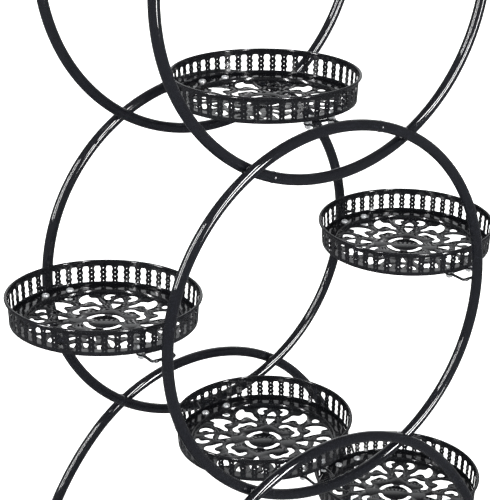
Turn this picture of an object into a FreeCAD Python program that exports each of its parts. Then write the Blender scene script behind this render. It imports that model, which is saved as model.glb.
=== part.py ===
import FreeCAD, Part
import math
import os
import Sketcher

from FreeCAD import Placement, Rotation, Vector

# Tiered plant stand of bent steel tube, in millimetres, +Z up.
# The origin is on the floor, in the middle of the four feet. X runs along the planes of
# the rings and Y from the front frame (-Y) to the back frame (+Y).

SIZES = [
    # frame tubes
    ("ring_radius", 205.0, "tube centre line of the rings and of the top of the base arch"),
    ("tube_diameter", 12.0, "outside diameter of every frame tube"),
    ("tube_wall", 1.0, "wall of the frame tubes"),
    ("middle_half_gap", 125.0, "middle rings: plane's distance from the middle of the stand"),
    ("upper_rise", 355.0, "upper rings: centre above that of the middle rings"),
    ("base_drop", 352.0, "base arch: centre below that of the middle rings"),
    ("arch_turn", 45.0, "degrees from the top of the arch to where its legs begin"),
    ("leg_radius", 315.0, "tube centre line of the legs below that"),
    ("leg_straight", 19.2, "upright end of each leg above its foot cap"),
    # feet
    ("cap_flange", 3.0, "foot cap: thickness under the tube's end"),
    ("cap_diameter", 15.0, "foot cap: diameter of the flange"),
    ("cap_plug", 14.0, "foot cap: depth of the plug inside the tube"),
    ("cap_clearance", 0.1, "foot cap: plug's radial clearance in the tube"),
    # bolted crossings
    ("cross_shank", 5.0, "crossing screw: thread diameter"),
    ("cross_head", 9.0, "crossing screw: head diameter"),
    ("cross_head_height", 3.0, "crossing screw: head height"),
    ("cross_hole_clearance", 0.4, "hole in the rear tube over the thread"),
    ("insert_diameter", 7.0, "threaded insert: outside diameter"),
    ("insert_length", 7.0, "threaded insert: length inside the front tube"),
    # trays
    ("rim_radius", 101.6, "tray rim: centre line of its rolled wire"),
    ("rim_wire", 3.3, "tray rim: wire diameter"),
    ("rim_height", 29.3, "tray rim: centre line above the bracket's weld"),
    ("tray_bottom", 2.2, "underside of the tray's edge above the bracket's weld"),
    ("bottom_radius", 98.5, "tray wall: outside radius at the bottom"),
    ("sheet", 0.8, "thickness of the tray's wall"),
    ("floor_sheet", 0.8, "thickness of the tray's floor"),
    ("recess_radius", 80.0, "sunk middle of the floor: radius at its upper edge"),
    ("recess_slope", 2.0, "sunk middle of the floor: how far its edge slopes inward"),
    ("recess_sink", 4.0, "sunk middle of the floor: depth"),
    ("opening_count", 48, "upright openings round the wall"),
    ("opening_width", 6.6, "upright opening: width"),
    ("opening_low", 4.5, "upright opening: lower end above the tray's underside"),
    ("opening_high", 4.7, "upright opening: upper end below the rim's centre line"),
    ("disc_radius", 16.7, "plain disc in the middle of the floor"),
    ("arc_slot_width", 5.0, "arc slots round that disc: width"),
    ("arc_slot_turn", 66.0, "arc slots round that disc: length in degrees"),
    ("crown_distance", 42.0, "crown cut-outs, one on each axis: distance from the middle"),
    ("crown_hole", 9.0, "crown cut-outs: diameter"),
    ("leaf_distance", 62.0, "leaf cut-outs, two to each axis: distance from the middle"),
    ("leaf_turn", 14.5, "leaf cut-outs: degrees to each side of the axis"),
    ("leaf_hole", 18.0, "leaf cut-outs: diameter"),
    ("fan_distance", 46.0, "fan cut-outs on the diagonals: distance from the middle"),
    ("fan_hole", 10.0, "fan cut-outs: diameter"),
    ("crescent_distance", 70.0, "crescent cut-outs by the diagonals: distance from the middle"),
    ("crescent_turn", 11.0, "crescent cut-outs: degrees to each side of the diagonal"),
    ("crescent_hole", 10.0, "crescent cut-outs: diameter"),
    # brackets and their fasteners
    ("bracket_wire", 3.2, "bracket: wire diameter"),
    ("weld_half_width", 12.0, "bracket: half of the bar welded to the tube"),
    ("weld_clearance", 0.1, "bracket: bar's distance from the tube, filled by the weld"),
    ("eye_offset", 15.0, "bracket eyes: distance to each side of the bracket's middle"),
    ("eye_reach", 88.0, "bracket eyes: distance from the tray's middle line"),
    ("front_eye_shift", 7.0, "front bracket: eyes' shift to the right"),
    ("back_eye_shift", -7.0, "back bracket: eyes' shift to the right"),
    ("eye_drop", 3.5, "bracket eyes: depth below the welded bar"),
    ("eye_diameter", 10.0, "bracket eyes: outside diameter"),
    ("eye_thickness", 2.0, "bracket eyes: thickness"),
    ("screw_shank", 4.0, "tray screw: thread diameter"),
    ("screw_hole_clearance", 0.4, "holes for the tray screws over the thread"),
    ("screw_head", 8.4, "tray screw: head diameter"),
    ("screw_head_height", 2.6, "tray screw: head height"),
    ("screw_tail", 1.4, "tray screw: thread below its nut"),
    ("nut_width", 7.0, "nut: across flats"),
    ("nut_height", 3.2, "nut: height"),
    ("washer_diameter", 9.0, "washer under the tray: diameter"),
    ("recess_length", 5.0, "cross recess in the screw heads: length"),
    ("recess_width", 1.0, "cross recess in the screw heads: width"),
    ("recess_depth", 1.4, "cross recess in the screw heads: depth"),
    # low trays
    ("low_tray_offset", 205.0, "low trays: centre from the middle of the stand"),
    ("low_tray_height", 115.0, "low trays: bracket's weld above the floor"),
    # how far each middle tray's welds sit above the ring's level point
    ("upper_tray_lift", 0.7, "tray on top of the middle rings"),
    ("left_tray_lift", -0.9, "tray at the left"),
    ("right_tray_lift", -2.5, "tray at the right"),
    ("centre_tray_lift", 3.9, "tray on the bottom of the middle rings"),
    # how far each tray leans, in degrees
    ("upper_tray_tip", 0.53, "tray on top of the middle rings, about X"),
    ("upper_tray_roll", 0.09, "tray on top of the middle rings, about Y"),
    ("left_tray_tip", -0.35, "tray at the left of the middle rings, about X"),
    ("left_tray_roll", 1.47, "tray at the left of the middle rings, about Y"),
    ("right_tray_tip", 2.13, "tray at the right of the middle rings, about X"),
    ("right_tray_roll", -1.23, "tray at the right of the middle rings, about Y"),
    ("centre_tray_tip", 0.70, "tray on the bottom of the middle rings, about X"),
    ("centre_tray_roll", -1.66, "tray on the bottom of the middle rings, about Y"),
    ("low_right_tray_tip", 1.54, "low tray at the right, about X"),
    ("low_right_tray_roll", -0.32, "low tray at the right, about Y"),
]

ALONG_Y = Rotation(Vector(1, 0, 0), -90)
RING_UPRIGHT = Rotation(Vector(1, 0, 0), 90)

doc = FreeCAD.newDocument("plant_stand")
sheet = doc.addObject("Spreadsheet::Sheet", "sizes")
for row, (alias, value, meaning) in enumerate(SIZES, start=1):
    sheet.set(f"A{row}", alias)
    sheet.set(f"B{row}", str(value))
    sheet.set(f"C{row}", meaning)
    sheet.setAlias(f"B{row}", alias)
doc.recompute()

# Places worked out from the sheet, as formulas that the objects are bound to.
UPPER_GAP = "(sizes.middle_half_gap - sizes.tube_diameter)"
MIDDLE_GAP = "sizes.middle_half_gap"
BASE_GAP = "(sizes.middle_half_gap + sizes.tube_diameter)"
BORE_RADIUS = "(sizes.tube_diameter / 2 - sizes.tube_wall)"
LEG_SHIFT = "((sizes.leg_radius - sizes.ring_radius) * sin(sizes.arch_turn))"
LEG_LOWER = "((sizes.leg_radius - sizes.ring_radius) * cos(sizes.arch_turn))"
ARCH_HEIGHT = f"(sizes.cap_flange + sizes.leg_straight + {LEG_LOWER})"
MIDDLE_HEIGHT = f"({ARCH_HEIGHT} + sizes.base_drop)"
UPPER_HEIGHT = f"({MIDDLE_HEIGHT} + sizes.upper_rise)"
FOOT_X = f"(sizes.leg_radius - {LEG_SHIFT})"
LOW_WELD_X = (
    f"(sqrt(sizes.leg_radius^2 - (sizes.low_tray_height - {ARCH_HEIGHT} + {LEG_LOWER})^2)"
    f" - {LEG_SHIFT})"
)
EYE_TOP = "(sizes.eye_thickness / 2 - sizes.eye_drop)"
FLOOR_TOP = "(sizes.tray_bottom + sizes.floor_sheet)"
SCREW_HOLE_RADIUS = "((sizes.screw_shank + sizes.screw_hole_clearance) / 2)"


def bind(thing, **formulas):
    """Binds properties to formulas on the sheet; base_x, base_y and base_z are its place."""
    for name, formula in formulas.items():
        if name.startswith("base_"):
            name = "Placement.Base." + name[-1]
        thing.setExpression(name, formula)
    return thing


def part(kind, name, rotation=None, **formulas):
    """A Part object, turned if asked, with its sizes and place bound to the sheet."""
    thing = doc.addObject(kind, name)
    if rotation:
        thing.Placement = Placement(Vector(), rotation)
    return bind(thing, **formulas)


def fuse(name, shapes):
    joined = doc.addObject("Part::MultiFuse", name)
    joined.Shapes = shapes
    return joined


def cut(name, base, tool):
    result = doc.addObject("Part::Cut", name)
    result.Base = base
    result.Tool = tool
    return result


def group(name, pieces):
    """Separate solids that share one node."""
    together = doc.addObject("Part::Compound", name)
    together.Links = pieces
    return together


def origin_plane(body, role):
    return next(plane for plane in body.Origin.OriginFeatures if plane.Role == role)


def new_sketch(body, name, role):
    sketch = body.newObject("Sketcher::SketchObject", name)
    sketch.AttachmentSupport = (origin_plane(body, role), [""])
    sketch.MapMode = "FlatFace"
    return sketch


def measure(sketch, kind, *where, name, formula):
    """Adds a dimension to a sketch at its present value and binds it to the sheet."""
    index = sketch.addConstraint(Sketcher.Constraint(kind, *where))
    sketch.renameConstraint(index, name)
    sketch.setExpression("Constraints." + name, formula)


def size(alias):
    return float(sheet.get(alias))


# ---- frame tubes -----------------------------------------------------------------------

def crossing(name, x_sign, plane, x, height):
    """Where two tubes touch: the screw goes in from behind, through the rear tube."""
    return {"name": name, "x": f"({x_sign} * {x})", "contact": plane, "height": height}


def crossings():
    upper_x = "sqrt(sizes.ring_radius^2 - (sizes.upper_rise / 2)^2)"
    lower_x = "sqrt(sizes.ring_radius^2 - (sizes.base_drop / 2)^2)"
    upper_height = f"({MIDDLE_HEIGHT} + sizes.upper_rise / 2)"
    lower_height = f"({MIDDLE_HEIGHT} - sizes.base_drop / 2)"
    upper_contact = "(sizes.middle_half_gap - sizes.tube_diameter / 2)"
    lower_contact = "(sizes.middle_half_gap + sizes.tube_diameter / 2)"
    places = {}
    for side, y_sign in (("front", "-1"), ("back", "1")):
        for hand, x_sign in (("left", "-1"), ("right", "1")):
            places["upper", side, hand] = crossing(
                f"upper_{side}_{hand}", x_sign, f"({y_sign} * {upper_contact})", upper_x, upper_height)
            places["lower", side, hand] = crossing(
                f"lower_{side}_{hand}", x_sign, f"({y_sign} * {lower_contact})", lower_x, lower_height)
    return places


def screw_hole(place):
    """Through both walls of the rear tube."""
    return part("Part::Cylinder", f"screw_hole_{place['name']}", ALONG_Y,
                Radius="(sizes.cross_shank + sizes.cross_hole_clearance) / 2",
                Height="sizes.tube_diameter + 2 * sizes.tube_wall",
                base_x=place["x"], base_y=f"{place['contact']} - sizes.tube_wall",
                base_z=place["height"])


def insert_hole(place):
    """Through the rear wall of the front tube."""
    return part("Part::Cylinder", f"insert_hole_{place['name']}", ALONG_Y,
                Radius="sizes.insert_diameter / 2",
                Height="sizes.tube_diameter / 2 + sizes.tube_wall",
                base_x=place["x"], base_y=f"{place['contact']} - sizes.tube_diameter / 2",
                base_z=place["height"])


def ring(name, plane, height, holes):
    """A closed ring of bent tube, hollow, with its screw holes."""
    solid = part("Part::Torus", name + "_outside", RING_UPRIGHT,
                 Radius1="sizes.ring_radius", Radius2="sizes.tube_diameter / 2",
                 base_y=plane, base_z=height)
    bore = part("Part::Torus", name + "_bore", RING_UPRIGHT,
                Radius1="sizes.ring_radius", Radius2=BORE_RADIUS, base_y=plane, base_z=height)
    return cut(name, solid, fuse(name + "_cuts", [bore] + holes))


def arch_path(body):
    """Centre line of the base arch: ring arc on top, wider arcs below, then upright legs."""
    radius, leg, low = size("ring_radius"), size("leg_radius"), size("cap_flange")
    turn = math.radians(size("arch_turn"))
    shift, lower = (leg - radius) * math.sin(turn), (leg - radius) * math.cos(turn)
    foot, shoulder = leg - shift, low + size("leg_straight")
    height = shoulder + lower
    upright = math.pi / 2

    path = new_sketch(body, body.Name + "_path", "XZ_Plane")

    def arc(x, y, arc_radius, start, end):
        circle = Part.Circle(Vector(x, y, 0), Vector(0, 0, 1), arc_radius)
        return path.addGeometry(Part.ArcOfCircle(circle, start, end))

    left_leg = path.addGeometry(Part.LineSegment(Vector(-foot, low, 0), Vector(-foot, shoulder, 0)))
    left_arc = arc(shift, shoulder, leg, upright + turn, 2 * upright)
    top_arc = arc(0, height, radius, upright - turn, upright + turn)
    right_arc = arc(-shift, shoulder, leg, 0, upright - turn)
    right_leg = path.addGeometry(Part.LineSegment(Vector(foot, shoulder, 0), Vector(foot, low, 0)))

    start, end, middle = 1, 2, 3
    path.addConstraint([
        Sketcher.Constraint("Tangent", left_leg, end, left_arc, end),
        Sketcher.Constraint("Tangent", left_arc, start, top_arc, end),
        Sketcher.Constraint("Tangent", top_arc, start, right_arc, end),
        Sketcher.Constraint("Tangent", right_arc, start, right_leg, start),
        Sketcher.Constraint("Vertical", left_leg),
        Sketcher.Constraint("Vertical", right_leg),
        Sketcher.Constraint("PointOnObject", top_arc, middle, -2),
        Sketcher.Constraint("Horizontal", top_arc, start, top_arc, end),
        Sketcher.Constraint("Equal", left_arc, right_arc),
    ])
    measure(path, "Radius", top_arc, radius, name="top_radius", formula="sizes.ring_radius")
    measure(path, "Radius", left_arc, leg, name="leg_radius", formula="sizes.leg_radius")
    measure(path, "DistanceY", -1, 1, top_arc, middle, height, name="centre_height",
            formula=ARCH_HEIGHT)
    measure(path, "DistanceX", top_arc, end, top_arc, start, 2 * radius * math.sin(turn),
            name="top_width", formula="2 * sizes.ring_radius * sin(sizes.arch_turn)")
    measure(path, "DistanceY", -1, 1, left_leg, start, low, name="left_foot",
            formula="sizes.cap_flange")
    measure(path, "DistanceY", -1, 1, right_leg, end, low, name="right_foot",
            formula="sizes.cap_flange")
    return path


def arch(name, plane, holes):
    """One bent tube from foot to foot, hollow, with its screw holes."""
    body = doc.addObject("PartDesign::Body", name + "_tube")
    path = arch_path(body)
    section = new_sketch(body, name + "_section", "XY_Plane")
    section.setExpression("AttachmentOffset.Base.x", f"-{FOOT_X}")
    section.setExpression("AttachmentOffset.Base.z", "sizes.cap_flange")
    for label, formula in (("outside", "sizes.tube_diameter / 2"), ("bore", BORE_RADIUS)):
        radius = size("tube_diameter") / 2 - (size("tube_wall") if label == "bore" else 0)
        circle = section.addGeometry(Part.Circle(Vector(), Vector(0, 0, 1), radius))
        section.addConstraint(Sketcher.Constraint("Coincident", circle, 3, -1, 1))
        measure(section, "Radius", circle, radius, name=label, formula=formula)
    pipe = body.newObject("PartDesign::AdditivePipe", name + "_pipe")
    pipe.Profile = section
    pipe.Spine = (path, [])
    bind(body, base_y=plane)
    return cut(name, body, fuse(name + "_holes", holes))


def frame_tubes(places):
    def pair(level, side, hole):
        return [hole(places[level, side, hand]) for hand in ("left", "right")]

    minus = "-1 * "
    return {
        "upper_ring_front": ring("upper_ring_front", minus + UPPER_GAP, UPPER_HEIGHT,
                                 pair("upper", "front", screw_hole)),
        "upper_ring_back": ring("upper_ring_back", UPPER_GAP, UPPER_HEIGHT,
                                pair("upper", "back", insert_hole)),
        "middle_ring_front": ring("middle_ring_front", minus + MIDDLE_GAP, MIDDLE_HEIGHT,
                                  pair("upper", "front", insert_hole)
                                  + pair("lower", "front", screw_hole)),
        "middle_ring_back": ring("middle_ring_back", MIDDLE_GAP, MIDDLE_HEIGHT,
                                 pair("upper", "back", screw_hole)
                                 + pair("lower", "back", insert_hole)),
        "base_arch_front": arch("base_arch_front", minus + BASE_GAP,
                                pair("lower", "front", insert_hole)),
        "base_arch_back": arch("base_arch_back", BASE_GAP, pair("lower", "back", screw_hole)),
    }


def foot_caps():
    """A plastic cap in the end of each leg: flange below, plug inside the tube."""
    caps = {}
    for side, y_sign in (("front", "-1"), ("back", "1")):
        for hand, x_sign in (("left", "-1"), ("right", "1")):
            name = f"foot_cap_{side}_{hand}"
            place = {"base_x": f"{x_sign} * {FOOT_X}", "base_y": f"{y_sign} * {BASE_GAP}"}
            flange = part("Part::Cylinder", name + "_flange", Radius="sizes.cap_diameter / 2",
                          Height="sizes.cap_flange", **place)
            plug = part("Part::Cylinder", name + "_plug",
                        Radius=f"{BORE_RADIUS} - sizes.cap_clearance",
                        Height="sizes.cap_flange + sizes.cap_plug", **place)
            caps[name] = fuse(name, [flange, plug])
    return caps


# ---- fasteners -------------------------------------------------------------------------

def pan_screw(name, shank, length, head, head_height):
    """Head above its own origin, thread below it, cross recess in the top."""
    shank_body = part("Part::Cylinder", name + "_shank", Radius=f"{shank} / 2", Height=length,
                      base_z=f"-1 * ({length})")
    head_body = part("Part::Cylinder", name + "_head", Radius=f"{head} / 2", Height=head_height)
    slots = []
    for number, (along, across) in enumerate((("Length", "Width"), ("Width", "Length"))):
        slot = part("Part::Box", f"{name}_slot_{number}", Height="sizes.recess_depth",
                    base_z=f"{head_height} - sizes.recess_depth")
        bind(slot, **{along: "sizes.recess_length", across: "sizes.recess_width"})
        bind(slot, base_x=f"-{name}_slot_{number}.Length / 2",
             base_y=f"-{name}_slot_{number}.Width / 2")
        slots.append(slot)
    return cut(name, fuse(name + "_blank", [shank_body, head_body]), fuse(name + "_recess", slots))


def hex_nut(name):
    blank = part("Part::Prism", name + "_blank", Circumradius="sizes.nut_width / sqrt(3)",
                 Height="sizes.nut_height")
    blank.Polygon = 6
    thread = part("Part::Cylinder", name + "_thread", Radius="sizes.screw_shank / 2",
                  Height="sizes.nut_height")
    return cut(name, blank, thread)


def flat_washer(name, height):
    blank = part("Part::Cylinder", name + "_blank", Radius="sizes.washer_diameter / 2",
                 Height=height)
    hole = part("Part::Cylinder", name + "_hole", Radius=SCREW_HOLE_RADIUS, Height=height)
    return cut(name, blank, hole)


def crossing_fasteners(places):
    screw = pan_screw("crossing_screw", "sizes.cross_shank",
                      "sizes.tube_diameter + sizes.insert_length", "sizes.cross_head",
                      "sizes.cross_head_height")
    blank = part("Part::Cylinder", "insert_blank", Radius="sizes.insert_diameter / 2",
                 Height="sizes.insert_length")
    thread = part("Part::Cylinder", "insert_thread", Radius="sizes.cross_shank / 2",
                  Height="sizes.insert_length")
    insert = cut("crossing_insert", blank, thread)
    screws, inserts = [], []
    for place in places.values():
        placed = group(f"screw_{place['name']}", [screw])
        placed.Placement = Placement(Vector(), ALONG_Y)
        bind(placed, base_x=place["x"], base_y=f"{place['contact']} + sizes.tube_diameter",
             base_z=place["height"])
        screws.append(placed)
        placed = group(f"insert_{place['name']}", [insert])
        placed.Placement = Placement(Vector(), ALONG_Y)
        bind(placed, base_x=place["x"], base_y=f"{place['contact']} - sizes.insert_length",
             base_z=place["height"])
        inserts.append(placed)
    return {"crossing_screws": group("crossing_screws", screws),
            "crossing_inserts": group("crossing_inserts", inserts)}


# ---- one tray, about the middle of its bracket welds ----------------------------------

def eye_places():
    """Centre of each bracket eye, seen from the middle of the tray."""
    places = []
    for side, y_sign in (("front", "-1"), ("back", "1")):
        for hand, x_sign in (("left", "-1"), ("right", "1")):
            x = f"({x_sign} * sizes.eye_offset + sizes.{side}_eye_shift)"
            places.append((f"{side}_{hand}", x, f"({y_sign} * sizes.eye_reach)"))
    return places


def tray_rim():
    return part("Part::Torus", "rim", Radius1="sizes.rim_radius", Radius2="sizes.rim_wire / 2",
                base_z="sizes.rim_height")


def tray_wall():
    """A thin band, wider at the top, pierced all round by upright openings."""
    body = doc.addObject("PartDesign::Body", "wall")
    low, high = size("tray_bottom"), size("rim_height")
    foot, top = size("bottom_radius"), size("rim_radius") - size("rim_wire") / 2
    thick = size("sheet")
    profile = new_sketch(body, "wall_profile", "XZ_Plane")
    corners = [Vector(foot - thick, low), Vector(foot, low), Vector(top, high),
               Vector(top - thick, high)]
    for number, corner in enumerate(corners):
        profile.addGeometry(Part.LineSegment(corner, corners[(number + 1) % 4]))
    for number in range(4):
        profile.addConstraint(
            Sketcher.Constraint("Coincident", number, 2, (number + 1) % 4, 1))
    profile.addConstraint(Sketcher.Constraint("Horizontal", 0))
    profile.addConstraint(Sketcher.Constraint("Horizontal", 2))
    measure(profile, "DistanceX", -1, 1, 1, 1, foot, name="foot", formula="sizes.bottom_radius")
    measure(profile, "DistanceX", -1, 1, 2, 1, top, name="top",
            formula="sizes.rim_radius - sizes.rim_wire / 2")
    measure(profile, "DistanceX", 0, 1, 0, 2, thick, name="foot_sheet", formula="sizes.sheet")
    measure(profile, "DistanceX", 2, 2, 2, 1, thick, name="top_sheet", formula="sizes.sheet")
    measure(profile, "DistanceY", -1, 1, 1, 1, low, name="low", formula="sizes.tray_bottom")
    measure(profile, "DistanceY", -1, 1, 2, 1, high, name="high", formula="sizes.rim_height")
    band = body.newObject("PartDesign::Revolution", "wall_band")
    band.Profile = profile
    band.ReferenceAxis = (profile, ["V_Axis"])
    band.Angle = 360
    doc.recompute()

    openings = []
    inside, half = "(sizes.bottom_radius - 2 * sizes.sheet)", "sizes.opening_width / 2"
    for number in range(round(size("opening_count"))):
        angle = f"({360 * number} / sizes.opening_count)"
        opening = part("Part::Box", f"wall_opening_{number}",
                       Length=f"sizes.rim_radius - {inside}",
                       Width="sizes.opening_width",
                       Height="sizes.rim_height - sizes.opening_high - sizes.tray_bottom"
                              " - sizes.opening_low",
                       base_x=f"{inside} * cos({angle}) + {half} * sin({angle})",
                       base_y=f"{inside} * sin({angle}) - {half} * cos({angle})",
                       base_z="sizes.tray_bottom + sizes.opening_low")
        opening.setExpression("Placement.Rotation.Angle", angle)
        openings.append(opening)
    return cut("pierced_wall", body, group("wall_openings", openings))


def tray_floor(eyes):
    """A plate with a sunk middle, a plain disc there, cut-outs round it and screw holes."""
    sunk = "(sizes.tray_bottom - sizes.recess_sink)"
    flange = part("Part::Cylinder", "floor_flange", Radius="sizes.bottom_radius - sizes.sheet",
                  Height="sizes.floor_sheet", base_z="sizes.tray_bottom")
    pan = part("Part::Cone", "floor_pan", Radius1="sizes.recess_radius - sizes.recess_slope",
               Radius2="sizes.recess_radius", Height="sizes.recess_sink", base_z=sunk)
    hollow = part("Part::Cone", "floor_hollow",
                  Radius1="sizes.recess_radius - sizes.recess_slope - sizes.floor_sheet",
                  Radius2="sizes.recess_radius - sizes.floor_sheet", Height="sizes.recess_sink",
                  base_z=f"{sunk} + sizes.floor_sheet")
    cuts = [hollow]
    for name, x, y in eyes:
        cuts.append(part("Part::Cylinder", f"floor_hole_{name}", Radius=SCREW_HOLE_RADIUS,
                         Height="sizes.floor_sheet", base_x=x, base_y=y,
                         base_z="sizes.tray_bottom"))
    for quarter in range(4):
        axis, diagonal = f"({90 * quarter})", f"({90 * quarter} + 45)"
        cuts.append(arc_slot(f"arc_slot_{quarter}", axis, sunk))
        for name, angle in (("crown", axis), ("fan", diagonal),
                            ("leaf", f"({axis} - sizes.leaf_turn)"),
                            ("leaf", f"({axis} + sizes.leaf_turn)"),
                            ("crescent", f"({diagonal} - sizes.crescent_turn)"),
                            ("crescent", f"({diagonal} + sizes.crescent_turn)")):
            cuts.append(part("Part::Cylinder", f"floor_{name}_cut",
                             Radius=f"sizes.{name}_hole / 2", Height="sizes.floor_sheet",
                             base_x=f"sizes.{name}_distance * cos{angle}",
                             base_y=f"sizes.{name}_distance * sin{angle}", base_z=sunk))
    return cut("floor", fuse("floor_blank", [flange, pan]), fuse("floor_cuts", cuts))


def arc_slot(name, middle_angle, low):
    """Part of a flat ring, cut from a larger disc by the disc that stays."""
    outer = part("Part::Cylinder", name + "_outer",
                 Radius="sizes.disc_radius + sizes.arc_slot_width", Height="sizes.floor_sheet",
                 Angle="sizes.arc_slot_turn", base_z=low)
    outer.setExpression(
        "Placement.Rotation.Angle", f"{middle_angle} - sizes.arc_slot_turn / 2")
    disc = part("Part::Cylinder", name + "_disc", Radius="sizes.disc_radius",
                Height="sizes.floor_sheet", base_z=low)
    return cut(name, outer, disc)


def tray_fasteners(eyes):
    """Screw down through floor and eye, washer and nut under the floor, nut under the eye."""
    screw = pan_screw(
        "tray_screw", "sizes.screw_shank",
        f"{FLOOR_TOP} - {EYE_TOP} + sizes.eye_thickness + sizes.nut_height + sizes.screw_tail",
        "sizes.screw_head", "sizes.screw_head_height")
    nut = hex_nut("tray_nut")
    washer = flat_washer("tray_washer",
                         f"sizes.tray_bottom - {EYE_TOP} - sizes.nut_height")
    screws, nuts, washers = [], [], []
    for name, x, y in eyes:
        screws.append(bind(group(f"tray_screw_{name}", [screw]), base_x=x, base_y=y,
                           base_z=FLOOR_TOP))
        nuts.append(bind(group(f"upper_nut_{name}", [nut]), base_x=x, base_y=y, base_z=EYE_TOP))
        nuts.append(bind(group(f"lower_nut_{name}", [nut]), base_x=x, base_y=y,
                         base_z=f"{EYE_TOP} - sizes.eye_thickness - sizes.nut_height"))
        washers.append(bind(group(f"washer_{name}", [washer]), base_x=x, base_y=y,
                            base_z=f"{EYE_TOP} + sizes.nut_height"))
    return group("screws", screws), group("nuts", nuts), group("washers", washers)


def bracket(name, side, y_sign, reach, shift):
    """A loop of wire: welded bar at the tube, two arms, a bar between the two screw eyes."""
    middle = f"(sizes.{side}_eye_shift)"
    run = f"({reach} - sizes.eye_reach)"
    slope = f"atan(sizes.eye_drop / {run})"
    length = f"sqrt({run}^2 + sizes.eye_drop^2)"
    loop = doc.addObject("Sketcher::SketchObject", name + "_loop")
    loop.Placement = Placement(Vector(), Rotation(Vector(1, 0, 0), 1))
    bind(loop, base_y=f"{y_sign} * {reach}")
    loop.setExpression("Placement.Rotation.Angle", f"{y_sign} * {slope}")
    inward = -float(y_sign)
    weld, eye = size("weld_half_width"), size("eye_offset")
    far = inward * (size("middle_half_gap") - size("eye_reach"))
    corners = [Vector(0, 0), Vector(weld, 0), Vector(eye, far), Vector(-eye, far),
               Vector(-weld, 0)]
    for number, corner in enumerate(corners):
        loop.addGeometry(Part.LineSegment(corner, corners[(number + 1) % 5]))
    for number in range(5):
        loop.addConstraint(Sketcher.Constraint("Coincident", number, 2, (number + 1) % 5, 1))
    places = [(shift, "0"), (f"{shift} + sizes.weld_half_width", "0"),
              (f"{middle} + sizes.eye_offset", f"{inward} * {length}"),
              (f"{middle} - sizes.eye_offset", f"{inward} * {length}"),
              (f"{shift} - sizes.weld_half_width", "0")]
    for number, (x, y) in enumerate(places):
        measure(loop, "DistanceX", -1, 1, number, 1, corners[number].x, name=f"x{number}_",
                formula=x)
        measure(loop, "DistanceY", -1, 1, number, 1, corners[number].y, name=f"y{number}_",
                formula=y)
    section = part("Part::Circle", name + "_section", Rotation(Vector(0, 1, 0), 90),
                   Radius="sizes.bracket_wire / 2", base_x=shift, base_y=f"{y_sign} * {reach}")
    wire = doc.addObject("Part::Sweep", name + "_wire")
    wire.Sections = [section]
    wire.Spine = (loop, [f"Edge{number + 1}" for number in range(5)])
    wire.Solid = True
    wire.Transition = "Round corner"
    eyes, holes = [], []
    for hand, x_sign in (("left", "-1"), ("right", "1")):
        place = {"base_x": f"{x_sign} * sizes.eye_offset + {middle}",
                 "base_y": f"{y_sign} * sizes.eye_reach"}
        eyes.append(part("Part::Cylinder", f"{name}_eye_{hand}", Radius="sizes.eye_diameter / 2",
                         Height="sizes.eye_thickness",
                         base_z=f"{EYE_TOP} - sizes.eye_thickness", **place))
        holes.append(part("Part::Cylinder", f"{name}_hole_{hand}", Radius=SCREW_HOLE_RADIUS,
                          Height="sizes.eye_thickness + 2 * sizes.bracket_wire",
                          base_z=f"{EYE_TOP} - sizes.eye_thickness - sizes.bracket_wire", **place))
    return cut(name + "_shape", fuse(name + "_blank", [wire] + eyes), fuse(name + "_holes", holes))


# ---- the seven trays -------------------------------------------------------------------

TOUCH = "(sizes.tube_diameter / 2 + sizes.bracket_wire / 2 + sizes.weld_clearance)"


def beside(gap):
    """Welded bar's distance from the middle plane, on an upright stretch of tube."""
    return {y_sign: f"({gap} - {TOUCH})" for y_sign in ("-1", "1")}


def level_with(gap, name):
    """The same on a level stretch, where the bar sits a little off the tube's centre line."""
    reaches = {}
    for y_sign in ("-1", "1"):
        offset = f"(sizes.{name}_lift + {y_sign} * {gap} * sin(sizes.{name}_tip))"
        reaches[y_sign] = f"({gap} - sqrt({TOUCH}^2 - {offset}^2))"
    return reaches


def tray_places():
    """Name, place, height of the weld, reach and shift of the bracket, turn, lean."""
    radius = "sizes.ring_radius"
    low_shift = f"({LOW_WELD_X} - sizes.low_tray_offset)"
    return [
        ("top_tray", "0", f"{UPPER_HEIGHT} + {radius}", beside(UPPER_GAP), "0", 0, None),
        ("upper_tray", "0", f"{MIDDLE_HEIGHT} + {radius} + sizes.upper_tray_lift",
         level_with(MIDDLE_GAP, "upper_tray"), "0", 0, "upper_tray"),
        ("left_tray", f"-1 * {radius}", f"{MIDDLE_HEIGHT} + sizes.left_tray_lift",
         beside(MIDDLE_GAP), "0", 0, "left_tray"),
        ("right_tray", radius, f"{MIDDLE_HEIGHT} + sizes.right_tray_lift",
         beside(MIDDLE_GAP), "0", 0, "right_tray"),
        ("centre_tray", "0", f"{MIDDLE_HEIGHT} - {radius} + sizes.centre_tray_lift",
         level_with(MIDDLE_GAP, "centre_tray"), "0", 0, "centre_tray"),
        ("low_left_tray", "-1 * sizes.low_tray_offset", "sizes.low_tray_height",
         beside(BASE_GAP), low_shift, 180, None),
        ("low_right_tray", "sizes.low_tray_offset", "sizes.low_tray_height",
         beside(BASE_GAP), low_shift, 0, "low_right_tray"),
    ]


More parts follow.
